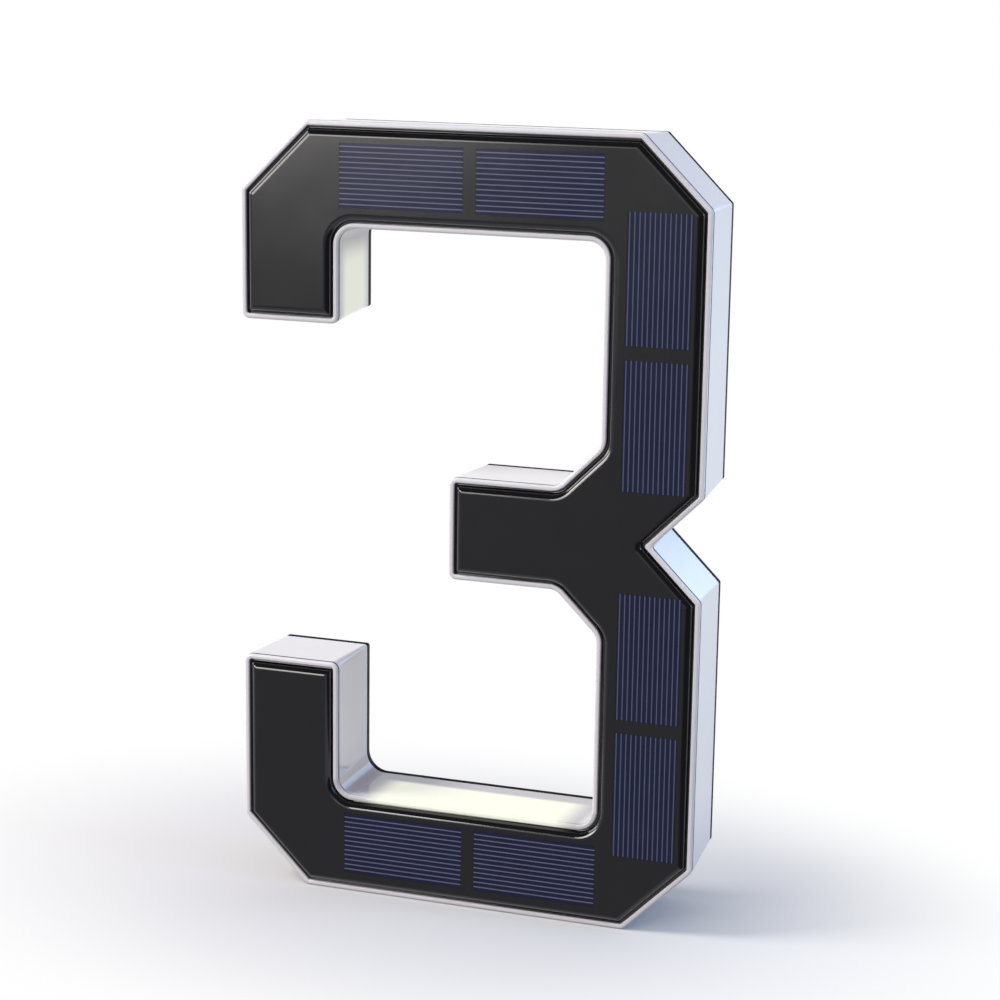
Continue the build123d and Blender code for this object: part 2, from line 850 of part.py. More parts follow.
def battery_lead_minus():
    """From the battery's lower tab straight to the board."""
    face = board_height + board_thickness
    top = face + pad_rise
    end = battery_middle() - battery_length / 2 - tab_thickness
    axis = battery_axis_height()
    tab_x = stroke_axis - tab_radius / 2
    x, y = board_pad(1, battery_minus_pad)
    return lead([(tab_x, end, axis), (tab_x, end - 3.5, axis), (x + 2.5, y + 5.0, top),
                 (x, y, top), (x, y, face)])


def battery_lead_plus():
    """From the battery's upper tab down beside the battery to the board."""
    face = board_height + board_thickness
    top = face + pad_rise
    end = battery_middle() + battery_length / 2 + tab_thickness
    axis = battery_axis_height()
    x, y = board_pad(1, battery_plus_pad)
    lane = right - stroke + wall + draft + lip_gap + lip_width / 2
    low = cover_thickness + lip_height + 0.9
    return lead([(stroke_axis, end, axis), (stroke_axis, end + 2.6, axis), (lane, end + 2.6, low),
                 (lane, y + 4.0, low), (lane, y + 4.0, top), (x, y, top), (x, y, face)])


# ---------- write every piece ----------

save("diffuser_shell", diffuser_shell())
save("front_panel", front_panel())
save("panel_adhesive", panel_adhesive())
for name, (x, y, upright) in cell_places().items():
    save(name, cell_block(x, y, upright, 0, cell_back, panel_face))
save("cell_ribbons", cell_ribbons())
save("solar_lead_plus", solar_lead(tab_places()[0][0], 1, solar_plus_pad))
save("solar_lead_minus", solar_lead(tab_places()[-1][1], -1, solar_minus_pad))
save("back_cover", back_cover())
save("back_seal", back_seal())
save("cover_screws", group([Pos(x, y, 0) * cover_screw() for x, y, _, _ in boss_places()]))
save("power_button", power_button())
save("button_seal", button_seal())
save("switch_body", switch_body())
save("switch_plunger", switch_plunger())
save("control_board", control_board())
save("control_chip", control_chip())
save("board_inductor", board_inductor())
save("board_screws", group([Pos(x, y, 0) * board_screw() for x, y in post_places()]))
save("battery_cell", battery_cell())
save("battery_tabs", battery_tabs())
save("battery_pad", battery_pad())
save("battery_lead_plus", battery_lead_plus())
save("battery_lead_minus", battery_lead_minus())
for place, run in strip_runs().items():
    save(f"led_strip_{place}", led_strip(*run))
    save(f"leds_{place}", led_chips(*run))
save("led_leads_minus", led_leads(0))
save("led_leads_plus", led_leads(1))
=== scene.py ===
import bpy
from math import pi, radians
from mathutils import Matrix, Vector


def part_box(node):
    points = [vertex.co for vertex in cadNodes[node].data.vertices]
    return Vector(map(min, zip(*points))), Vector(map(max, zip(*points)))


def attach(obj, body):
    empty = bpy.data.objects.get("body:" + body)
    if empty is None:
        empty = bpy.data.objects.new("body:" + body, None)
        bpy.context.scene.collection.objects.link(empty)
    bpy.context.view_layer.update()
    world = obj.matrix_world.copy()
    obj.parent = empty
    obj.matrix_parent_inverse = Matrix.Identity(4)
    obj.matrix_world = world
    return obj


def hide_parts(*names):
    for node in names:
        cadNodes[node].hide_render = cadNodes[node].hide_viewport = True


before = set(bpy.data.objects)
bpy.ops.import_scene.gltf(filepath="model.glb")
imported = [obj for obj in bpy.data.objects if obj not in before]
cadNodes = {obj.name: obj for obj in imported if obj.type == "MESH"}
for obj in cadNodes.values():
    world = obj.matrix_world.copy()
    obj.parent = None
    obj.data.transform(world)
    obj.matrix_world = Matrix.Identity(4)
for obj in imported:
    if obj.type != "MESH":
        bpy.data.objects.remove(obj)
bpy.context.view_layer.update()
print("frame loaded:", len(cadNodes), "nodes")


# small helpers for nodes
def addNode(tree, kind, inputs=None, **settings):
    node = tree.nodes.new(kind)
    for name, value in settings.items():
        setattr(node, name, value)
    for name, value in (inputs or {}).items():
        if isinstance(value, bpy.types.NodeSocket):
            tree.links.new(value, node.inputs[name])
        else:
            node.inputs[name].default_value = value
    return node


def mathNode(tree, operation, first, second=0.5, clamp=False):
    return addNode(tree, "ShaderNodeMath", {0: first, 1: second}, operation=operation,
                   use_clamp=clamp).outputs[0]


def vectorMath(tree, operation, *vectors):
    outputs = addNode(tree, "ShaderNodeVectorMath", dict(enumerate(vectors)),
                      operation=operation).outputs
    return outputs["Value" if operation in ("LENGTH", "DOT_PRODUCT") else "Vector"]


def alongAxis(tree, vector, axis):
    return addNode(tree, "ShaderNodeSeparateXYZ", {0: vector}).outputs[axis]


def mixColour(tree, factor, first, second, blend="MIX"):
    node = addNode(tree, "ShaderNodeMix", {"Factor": factor, 6: first, 7: second},
                   data_type="RGBA", blend_type=blend)
    return node.outputs[2]


def rangeNode(tree, value, low, high, toLow=0.0, toHigh=1.0, smooth=False):
    node = addNode(tree, "ShaderNodeMapRange", {"Value": value, "From Min": low, "From Max": high,
                                                "To Min": toLow, "To Max": toHigh})
    node.interpolation_type = "SMOOTHSTEP" if smooth else "LINEAR"
    return node.outputs[0]


def noiseNode(tree, vector, scale, detail=2.0, roughness=0.5):
    return addNode(tree, "ShaderNodeTexNoise", {"Vector": vector, "Scale": scale, "Detail": detail,
                                                "Roughness": roughness}).outputs[0]


def newGroup(name, inputs, outputs):
    tree = bpy.data.node_groups.new(name, "ShaderNodeTree")
    for direction, sockets in (("INPUT", inputs), ("OUTPUT", outputs)):
        for label, kind in sockets.items():
            tree.interface.new_socket(name=label, in_out=direction, socket_type="NodeSocket" + kind)
    return tree, tree.nodes.new("NodeGroupInput").outputs, tree.nodes.new("NodeGroupOutput").inputs


def useGroup(tree, group, inputs):
    return addNode(tree, "ShaderNodeGroup", inputs, node_tree=group).outputs


# effects that several finishes share
effects = dict(
    cloudDetail=3.0, cloudRoughness=0.55, cloudFrom=0.3, cloudTo=0.7,
    smearScale=45.0, smearDetail=4.0, smearRoughness=0.6, smearFrom=0.35, smearTo=0.7,
    scratchTurn=24.0, scratchStretch=(2600.0, 300.0, 90.0), scratchFrom=0.62, scratchTo=0.8,
    grainDetail=3.0, grainRoughness=0.6,
    lineCore=0.5, lineFade=1.5,  # shares of a line's half width
)


def makeClouding():
    # slow drift between two colours, as in any moulded or printed face
    tree, given, out = newGroup("clouding", {"Vector": "Vector", "Scale": "Float", "Light": "Color",
                                             "Dark": "Color"}, {"Colour": "Color"})
    wide = noiseNode(tree, given["Vector"], given["Scale"], effects["cloudDetail"],
                     effects["cloudRoughness"])
    amount = rangeNode(tree, wide, effects["cloudFrom"], effects["cloudTo"])
    tree.links.new(mixColour(tree, amount, given["Light"], given["Dark"]), out["Colour"])
    return tree


def makeHandling():
    # roughness between two values: broad smears with faint fine scratches across them
    tree, given, out = newGroup("handling", {"Vector": "Vector", "Low": "Float", "High": "Float",
                                             "Scratches": "Float"}, {"Roughness": "Float"})
    smear = noiseNode(tree, given["Vector"], effects["smearScale"], effects["smearDetail"],
                      effects["smearRoughness"])
    smear = rangeNode(tree, smear, effects["smearFrom"], effects["smearTo"])
    stretched = addNode(tree, "ShaderNodeMapping",
                        {"Vector": given["Vector"],
                         "Rotation": (0.0, radians(effects["scratchTurn"]), 0.0),
                         "Scale": effects["scratchStretch"]}).outputs[0]
    scratch = rangeNode(tree, noiseNode(tree, stretched, 1.0, 1.0), effects["scratchFrom"],
                        effects["scratchTo"])
    scratch = mathNode(tree, "MULTIPLY", scratch, given["Scratches"])
    both = mathNode(tree, "ADD", smear, scratch, clamp=True)
    tree.links.new(rangeNode(tree, both, 0.0, 1.0, given["Low"], given["High"]),
                   out["Roughness"])
    return tree


def makeGrain():
    # the fine leather-like texture that a spark-eroded mould leaves
    tree, given, out = newGroup("mouldGrain", {"Vector": "Vector", "Scale": "Float"},
                                {"Height": "Float"})
    pits = addNode(tree, "ShaderNodeTexVoronoi", {"Vector": given["Vector"],
                                                  "Scale": given["Scale"]}).outputs[0]
    fine = noiseNode(tree, given["Vector"], given["Scale"], effects["grainDetail"],
                     effects["grainRoughness"])
    tree.links.new(mathNode(tree, "MULTIPLY", pits, fine), out["Height"])
    return tree


def makeGlowAndShadeSpot():
    # 1 in the core of a soft-edged box, 0 at its reach: the mask of a painted glow patch and of a
    # painted shade patch
    tree, given, out = newGroup("glowAndShadeSpot", {"Vector": "Vector", "Centre": "Vector",
                                             "Reach": "Vector", "Core": "Float"}, {"Mask": "Float"})
    apart = vectorMath(tree, "SUBTRACT", given["Vector"], given["Centre"])
    shares = vectorMath(tree, "DIVIDE", apart, given["Reach"])
    parts = addNode(tree, "ShaderNodeSeparateXYZ", {0: shares}).outputs
    mask = 1.0
    for part in parts:
        away = mathNode(tree, "ABSOLUTE", part)
        mask = mathNode(tree, "MULTIPLY", rangeNode(tree, away, given["Core"], 1.0, 1.0, 0.0,
                                                    smooth=True), mask)
    tree.links.new(mask, out["Mask"])
    return tree


def makeGridLines():
    # thin printed lines, a pitch apart, on both sides of a centre
    tree, given, out = newGroup("gridLines", {"Place": "Float", "Centre": "Float", "Pitch": "Float",
                                              "Phase": "Float", "Half": "Float"}, {"Mask": "Float"})
    place = mathNode(tree, "SUBTRACT", given["Place"], given["Centre"])
    turns = mathNode(tree, "ADD", mathNode(tree, "DIVIDE", place, given["Pitch"]), given["Phase"])
    share = mathNode(tree, "FRACT", turns)
    away = mathNode(tree, "ABSOLUTE", mathNode(tree, "SUBTRACT", share, 0.5))
    distance = mathNode(tree, "MULTIPLY", away, given["Pitch"])
    inner = mathNode(tree, "MULTIPLY", given["Half"], effects["lineCore"])
    outer = mathNode(tree, "MULTIPLY", given["Half"], effects["lineFade"])
    tree.links.new(rangeNode(tree, distance, inner, outer, 1.0, 0.0, smooth=True), out["Mask"])
    return tree


clouding = makeClouding()
handling = makeHandling()
mouldGrain = makeGrain()
glowAndShadeSpot = makeGlowAndShadeSpot()
gridLines = makeGridLines()
print("shared effects ready")


# finishes
def rgb(red, green, blue):
    return (red, green, blue, 1.0)


def startFinish(name, settings):
    # every finish begins with colour drift and handling marks, and some with moulded grain
    material = bpy.data.materials.new(name)
    material.use_nodes = True
    tree = material.node_tree
    shader = tree.nodes["Principled BSDF"]
    place = addNode(tree, "ShaderNodeTexCoord").outputs["Object"]
    colour = useGroup(tree, clouding, {"Vector": place, "Scale": settings.get("cloudScale", 90.0),
                                       "Light": rgb(*settings["light"]),
                                       "Dark": rgb(*settings["dark"])})["Colour"]
    rough = useGroup(tree, handling, {"Vector": place, "Low": settings["rough"][0],
                                      "High": settings["rough"][1],
                                      "Scratches": settings.get("scratches", 0.5)})["Roughness"]
    tree.links.new(colour, shader.inputs["Base Color"])
    tree.links.new(rough, shader.inputs["Roughness"])
    if settings.get("grainDepth"):
        height = useGroup(tree, mouldGrain, {"Vector": place,
                                             "Scale": settings["grainScale"]})["Height"]
        bump = addNode(tree, "ShaderNodeBump",
                       {"Height": height, "Distance": settings["grainDepth"],
                        "Strength": settings.get("grainStrength", 0.5)})
        tree.links.new(bump.outputs[0], shader.inputs["Normal"])
    shader.inputs["Metallic"].default_value = settings.get("metallic", 0.0)
    shader.inputs["Specular IOR Level"].default_value = settings.get("specular", 0.5)
    shader.inputs["Coat Weight"].default_value = settings.get("coat", 0.0)
    shader.inputs["Coat Roughness"].default_value = settings.get("coatRoughness", 0.05)
    return material, tree, shader, place, colour


def dress(material, *names):
    for name in names:
        piece = cadNodes[name]
        piece.data.materials.clear()
        piece.data.materials.append(material)


# diffuser shell: glossy translucent white, with soft warm patches of painted glow where the LEDs'
# light comes through
diffuser = dict(
    light=(0.800, 0.785, 0.800), dark=(0.780, 0.765, 0.780), cloudScale=12.0,
    rough=(0.13, 0.17), scratches=0.0, specular=0.6,
    # the parting line, with painted shade along its groove: its depth, half its width, and the
    # shares of that where it fades
    seamAt=-0.00926, seamHalf=0.00030, seamCore=0.6, seamFade=1.3, seamShadeColour=(0.12, 0.12, 0.145),
    glowColour=(0.965, 1.0, 0.83), glowStrength=0.445, litColour=(0.56, 0.56, 0.475),
    # centre, reach, core and share of each patch, in metres
    glows=[
        ((0.0005, -0.0032, 0.0210), (0.0240, 0.0085, 0.004), 0.75, 1.0),
        ((-0.0272, 0.0003, 0.1260), (0.004, 0.0100, 0.0110), 0.45, 0.92),
        ((0.0, 0.0000, 0.1390), (0.027, 0.0100, 0.004), 0.5, 0.6),
        ((0.0272, 0.0000, 0.040), (0.004, 0.0100, 0.015), 0.5, 0.5),
    ],
    # the lower bay's floor is painted a little greyer round its patch: painted shade inside the bay
    bayShadePatch=((0.0, 0.0, 0.0210), (0.036, 0.020, 0.0035), 0.75),
    bayShadeColour=(0.60, 0.585, 0.605),
)


def makeDiffuser(settings):
    material, tree, shader, place, colour = startFinish("diffuserWhite", settings)
    # painted shade: the parting line's groove is darkened along its whole length
    depth = alongAxis(tree, place, "Y")
    away = mathNode(tree, "ABSOLUTE", mathNode(tree, "SUBTRACT", depth, settings["seamAt"]))
    seamShadeMask = rangeNode(tree, away, settings["seamCore"] * settings["seamHalf"],
                     settings["seamFade"] * settings["seamHalf"], 1.0, 0.0)
    colour = mixColour(tree, seamShadeMask, colour, rgb(*settings["seamShadeColour"]))
    # painted shade: the lower bay's floor is greyed round its glow patch
    centre, reach, core = settings["bayShadePatch"]
    bayShadeMask = useGroup(tree, glowAndShadeSpot, {"Vector": place, "Centre": centre, "Reach": reach,
                                     "Core": core})["Mask"]
    colour = mixColour(tree, bayShadeMask, colour, rgb(*settings["bayShadeColour"]))
    # painted glow: warm patches tint the base colour and give off light, standing in for the LEDs'
    # light through the shell
    total = None
    for centre, reach, core, share in settings["glows"]:
        mask = useGroup(tree, glowAndShadeSpot, {"Vector": place, "Centre": centre, "Reach": reach,
                                         "Core": core})["Mask"]
        part = mathNode(tree, "MULTIPLY", mask, share)
        total = part if total is None else mathNode(tree, "MAXIMUM", total, part)
    tree.links.new(mixColour(tree, total, colour, rgb(*settings["litColour"])),
                   shader.inputs["Base Color"])
    paintedGlow = mixColour(tree, total, rgb(0.0, 0.0, 0.0), rgb(*settings["glowColour"]))
    tree.links.new(paintedGlow, shader.inputs["Emission Color"])
    shader.inputs["Emission Strength"].default_value = settings["glowStrength"]
    return material


dress(makeDiffuser(diffuser), "diffuser_shell")

# front panel: black, a satin face with a polished shoulder round it
frontPanel = dict(light=(0.0036, 0.0036, 0.0042), dark=(0.0026, 0.0026, 0.0032), cloudScale=25.0,
                  rough=(0.16, 0.20), scratches=0.1, specular=0.8, polish=0.35,
                  polishFrom=0.00002, polishTo=0.00012, lacquerIor=1.62, coatRoughness=0.04)


def makePanel(settings):
    material, tree, shader, place = startFinish("panelBlack", settings)[:4]
    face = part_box("front_panel")[0][1]
    depth = alongAxis(tree, place, "Y")
    shoulder = rangeNode(tree, depth, face + settings["polishFrom"], face + settings["polishTo"])
    share = rangeNode(tree, shoulder, 0.0, 1.0, 1.0, settings["polish"])
    rough = shader.inputs["Roughness"].links[0].from_socket
    tree.links.new(mathNode(tree, "MULTIPLY", rough, share), shader.inputs["Roughness"])
    tree.links.new(shoulder, shader.inputs["Coat Weight"])
    shader.inputs["Coat IOR"].default_value = settings["lacquerIor"]
    return material


dress(makePanel(frontPanel), "front_panel")

# solar cells: blue silicon under clear resin, with fine printed lines along each cell
solarCell = dict(
    light=(0.006, 0.009, 0.044), dark=(0.004, 0.006, 0.034), cloudScale=260.0, rough=(0.16, 0.22),
    specular=0.5, scratches=0.1, lineHalf=0.00011,
    across=dict(pitch=0.00103, phase=0.0, colour=(0.145, 0.155, 0.235)),
    upright=dict(pitch=0.00101, phase=0.5, colour=(0.090, 0.108, 0.170)),
    acrossCells=["solar_cell_top_left", "solar_cell_top_right",
                 "solar_cell_bottom_right", "solar_cell_bottom_left"],
    uprightCells=["solar_cell_upper_high", "solar_cell_upper_low",
                  "solar_cell_lower_high", "solar_cell_lower_low"],
)


def makeCell(name, settings, direction, centre):
    material, tree, shader, place, colour = startFinish("cellBlue." + name, settings)
    along = alongAxis(tree, place, "Z" if direction == "across" else "X")
    lines = settings[direction]
    mask = useGroup(tree, gridLines, {"Place": along, "Centre": centre, "Pitch": lines["pitch"],
                                      "Phase": lines["phase"],
                                      "Half": settings["lineHalf"]})["Mask"]
    printed = mixColour(tree, mask, colour, rgb(*lines["colour"]))
    tree.links.new(printed, shader.inputs["Base Color"])
    return material


for direction, axis in (("across", 2), ("upright", 0)):
    for name in solarCell[direction + "Cells"]:
        low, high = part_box(name)
        dress(makeCell(name, solarCell, direction, (low[axis] + high[axis]) / 2), name)

# back cover and button: black and dark grey, with a fine moulded texture
backCover = dict(light=(0.026, 0.026, 0.028), dark=(0.020, 0.020, 0.022), cloudScale=40.0,
                 rough=(0.50, 0.64), grainScale=2600.0, grainDepth=0.00006, grainStrength=0.6,
                 specular=0.20, edgeFrom=0.00995, edgeTo=0.01035,
                 edgeShadeColour=(0.0012, 0.0012, 0.0014))


def makeCover(settings):
    # the edge is painted darker than the back face: painted shade on the cover's edge
    material, tree, shader, place, colour = startFinish("coverBlack", settings)
    depth = alongAxis(tree, place, "Y")
    face = rangeNode(tree, depth, settings["edgeFrom"], settings["edgeTo"])
    tree.links.new(mixColour(tree, face, rgb(*settings["edgeShadeColour"]), colour),
                   shader.inputs["Base Color"])
    return material


dress(makeCover(backCover), "back_cover")
buttonCap = dict(light=(0.050, 0.050, 0.054), dark=(0.040, 0.040, 0.043), cloudScale=200.0,
                 rough=(0.34, 0.48), grainScale=4200.0, grainDepth=0.00003)
dress(startFinish("buttonGrey", buttonCap)[0], "power_button")

# what is inside, or shows only as an edge
innerFinishes = [
    (dict(name="tapeBlack", light=(0.030, 0.030, 0.031), dark=(0.020, 0.020, 0.021),
          rough=(0.75, 0.9), grainScale=3000.0, grainDepth=0.00008), ["panel_adhesive"]),
    (dict(name="sealGrey", light=(0.10, 0.10, 0.105), dark=(0.075, 0.075, 0.08),
          rough=(0.5, 0.65), grainScale=5000.0, grainDepth=0.00002), ["back_seal", "button_seal"]),
    (dict(name="tinnedCopper", light=(0.72, 0.72, 0.70), dark=(0.60, 0.60, 0.58), metallic=1.0,
          rough=(0.22, 0.4), grainScale=2500.0, grainDepth=0.00002),
     ["cell_ribbons", "battery_tabs"]),
    (dict(name="leadRed", light=(0.55, 0.03, 0.025), dark=(0.45, 0.022, 0.02), rough=(0.35, 0.5),
          grainScale=6000.0, grainDepth=0.00001),
     ["solar_lead_plus", "battery_lead_plus", "led_leads_plus"]),
    (dict(name="leadBlack", light=(0.020, 0.020, 0.021), dark=(0.014, 0.014, 0.015),
          rough=(0.35, 0.5), grainScale=6000.0, grainDepth=0.00001),
     ["solar_lead_minus", "battery_lead_minus", "led_leads_minus"]),
    (dict(name="switchBlack", light=(0.03, 0.03, 0.032), dark=(0.022, 0.022, 0.024),
          rough=(0.4, 0.5), grainScale=5000.0, grainDepth=0.00002), ["switch_body"]),
    (dict(name="plungerWhite", light=(0.72, 0.71, 0.67), dark=(0.66, 0.65, 0.61),
          rough=(0.35, 0.5), grainScale=5000.0, grainDepth=0.00001), ["switch_plunger"]),
    (dict(name="boardGreen", light=(0.012, 0.12, 0.045), dark=(0.008, 0.09, 0.032),
          cloudScale=400.0, rough=(0.25, 0.4), coat=0.3, grainScale=3000.0, grainDepth=0.00001),
     ["control_board"]),
    (dict(name="chipBlack", light=(0.022, 0.022, 0.023), dark=(0.016, 0.016, 0.017),
          rough=(0.5, 0.6), grainScale=9000.0, grainDepth=0.00001), ["control_chip"]),
    (dict(name="ferriteGrey", light=(0.06, 0.06, 0.062), dark=(0.035, 0.035, 0.037),
          rough=(0.5, 0.7), grainScale=7000.0, grainDepth=0.00003), ["board_inductor"]),
    (dict(name="sleeveBlue", light=(0.02, 0.11, 0.32), dark=(0.015, 0.085, 0.26),
          rough=(0.15, 0.28), coat=0.4, grainScale=900.0, grainDepth=0.00002), ["battery_cell"]),
    (dict(name="foamBlack", light=(0.035, 0.035, 0.036), dark=(0.02, 0.02, 0.02),
          rough=(0.8, 0.95), grainScale=2200.0, grainDepth=0.0001), ["battery_pad"]),
    (dict(name="stripWhite", light=(0.78, 0.78, 0.75), dark=(0.70, 0.70, 0.67),
          rough=(0.3, 0.45), grainScale=3000.0, grainDepth=0.00001),
     [name for name in cadNodes if name.startswith("led_strip_")]),
    (dict(name="phosphor", light=(0.86, 0.72, 0.30), dark=(0.80, 0.64, 0.24),
          rough=(0.3, 0.4), grainScale=5000.0, grainDepth=0.00001),
     [name for name in cadNodes if name.startswith("leds_")]),
]
for settings, names in innerFinishes:
    dress(startFinish(settings["name"], settings)[0], *names)
screwZinc = startFinish("screwZinc", dict(light=(0.60, 0.60, 0.61), dark=(0.50, 0.50, 0.52),
                                          metallic=1.0, rough=(0.24, 0.42), grainScale=3500.0,
                                          grainDepth=0.00001))[0]
print("finishes ready:", len(bpy.data.materials))


# screws, modelled once and copied
screwMaking = dict(sides=40, edgeSteps=3, tipShare=0.12, threadSteps=20, threadRoot=0.93,
                   smoothAngle=32.0, firstTurn=17.0, nextTurn=47.0)


def deselectAll():
    bpy.ops.object.select_all(action="DESELECT")


def makeActive(piece):
    deselectAll()
    piece.select_set(True)
    bpy.context.view_layer.objects.active = piece


def selectEnd(piece, way, nearly=0.9):
    # in edit mode: the end that looks up where way is 1, or down where it is -1
    bpy.ops.mesh.select_all(action="DESELECT")
    bpy.ops.object.mode_set(mode="OBJECT")
    for face in piece.data.polygons:
        face.select = way * face.normal.z > nearly
    bpy.ops.object.mode_set(mode="EDIT")
    bpy.ops.mesh.select_mode(type="FACE")


def applyModifier(piece, kind, **settings):
    makeActive(piece)
    modifier = piece.modifiers.new(kind.lower(), kind)
    for name, value in settings.items():
        setattr(modifier, name, value)
    bpy.ops.object.modifier_apply(modifier=modifier.name)


# z runs out of the screw's head while it is made, with the head's face at z = 0
coverScrew = dict(
    name="coverScrew", headRadius=0.0020, coreRadius=0.00094, headHeight=0.0010, length=0.0075,
    tip=0.0010, edgeRound=0.00006, sunk=True, faceY=0.01045, outwards=1,
    slotReach=0.00112, slotWidth=0.00036, slotDepth=0.0007, slotTaper=0.55,
    threadCrest=0.00122, threadPitch=0.00085, threadHalf=0.00022, threadTurns=6,
    threadStart=-0.0068,
    places=[(-0.03815, 0.1495), (0.03815, 0.1495), (0.03815, 0.0105), (-0.03815, 0.0105),
            (-0.03815, 0.1261), (-0.03815, 0.0428), (0.00275, 0.0800), (0.04225, 0.0632)],
)


def makeScrew(settings):
    head = settings["headRadius"]
    core = settings["coreRadius"]
    deselectAll()
    bpy.ops.mesh.primitive_cylinder_add(vertices=screwMaking["sides"], radius=head,
                                        depth=settings["headHeight"],
                                        location=(0, 0, -settings["headHeight"] / 2))
    screw = bpy.context.object
    screw.name = settings["name"]
    bpy.ops.object.transform_apply(location=True)
    bpy.ops.object.mode_set(mode="EDIT")
    selectEnd(screw, -1)
    if settings["sunk"]:
        bpy.ops.transform.resize(value=(core / head, core / head, 1.0))
    else:
        bpy.ops.mesh.inset(thickness=head - core)
    shank = settings["length"] - settings["headHeight"] - settings["tip"]
    bpy.ops.mesh.extrude_region_move(TRANSFORM_OT_translate=dict(value=(0, 0, -shank)))
    bpy.ops.mesh.extrude_region_move(TRANSFORM_OT_translate=dict(value=(0, 0, -settings["tip"])))
    bpy.ops.transform.resize(value=(screwMaking["tipShare"], screwMaking["tipShare"], 1.0))
    selectEnd(screw, 1)
    bpy.ops.mesh.bevel(offset=settings["edgeRound"], segments=screwMaking["edgeSteps"],
                       affect="EDGES")
    bpy.ops.object.mode_set(mode="OBJECT")

    # cross recess: two crossed wedges cut out of the head
    for turn in (0.0, pi / 2):
        deselectAll()
        bpy.ops.mesh.primitive_cube_add(size=1.0, rotation=(0, 0, turn))
        cutter = bpy.context.object
        cutter.scale = (2 * settings["slotReach"], settings["slotWidth"], 2 * settings["slotDepth"])
        bpy.ops.object.transform_apply(location=True, rotation=True, scale=True)
        bpy.ops.object.mode_set(mode="EDIT")
        selectEnd(cutter, -1)
        bpy.ops.transform.resize(value=(settings["slotTaper"], settings["slotTaper"], 1.0))
        bpy.ops.object.mode_set(mode="OBJECT")
        applyModifier(screw, "BOOLEAN", operation="DIFFERENCE", object=cutter, solver="EXACT")
        bpy.data.objects.remove(cutter)

    # thread: a three-sided ridge wound along the shank
    deselectAll()
    bpy.ops.mesh.primitive_circle_add(vertices=3, radius=settings["threadHalf"],
                                      rotation=(pi / 2, 0, 0),
                                      location=(core, 0, settings["threadStart"]))
    ridge = bpy.context.object
    bpy.ops.object.transform_apply(location=True, rotation=True)
    root = core * screwMaking["threadRoot"]
    for corner in ridge.data.vertices:
        out = corner.co.x - core
        corner.co.x = settings["threadCrest"] if out > settings["threadHalf"] / 2 else root
    applyModifier(ridge, "SCREW", angle=2 * pi, screw_offset=settings["threadPitch"],
                  iterations=settings["threadTurns"], steps=screwMaking["threadSteps"],
                  render_steps=screwMaking["threadSteps"])
    makeActive(screw)
    ridge.select_set(True)
    bpy.ops.object.join()
    bpy.ops.object.mode_set(mode="EDIT")
    bpy.ops.mesh.select_all(action="SELECT")
    bpy.ops.mesh.normals_make_consistent(inside=False)
    bpy.ops.object.mode_set(mode="OBJECT")
    bpy.ops.object.shade_smooth_by_angle(angle=radians(screwMaking["smoothAngle"]))
    screw.data.materials.clear()
    screw.data.materials.append(screwZinc)
    return screw


def placeScrews(settings, node):
    pattern = makeScrew(settings)
    for number, (x, z) in enumerate(settings["places"]):
        piece = pattern.copy()
        piece.data = pattern.data.copy()
        piece.name = settings["name"] + str(number + 1)
        bpy.context.collection.objects.link(piece)
        makeActive(piece)
        # each was driven to its own angle
        spin = radians(screwMaking["firstTurn"] + screwMaking["nextTurn"] * number)
        piece.rotation_euler = (-settings["outwards"] * pi / 2, spin, 0.0)
        piece.location = (x, settings["faceY"], z)
        bpy.ops.object.transform_apply(location=True, rotation=True, scale=True)
        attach(piece, "housing")
    bpy.data.objects.remove(pattern)
    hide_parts(node)


placeScrews(coverScrew, "cover_screws")
print("cover screws ready")

# the control board's two screws have rounded heads and face the front
boardScrew = dict(
    name="boardScrew", headRadius=0.0018, coreRadius=0.00090, headHeight=0.0012, length=0.0062,
    tip=0.0008, edgeRound=0.0004, sunk=False, faceY=-0.0022, outwards=-1,
    slotReach=0.00095, slotWidth=0.00034, slotDepth=0.0006, slotTaper=0.55,
    threadCrest=0.00108, threadPitch=0.00080, threadHalf=0.00020, threadTurns=4,
    threadStart=-0.0055,
    places=[(0.00815, 0.0800), (0.02975, 0.0800)],
)
placeScrews(boardScrew, "board_screws")
print("board screws ready")


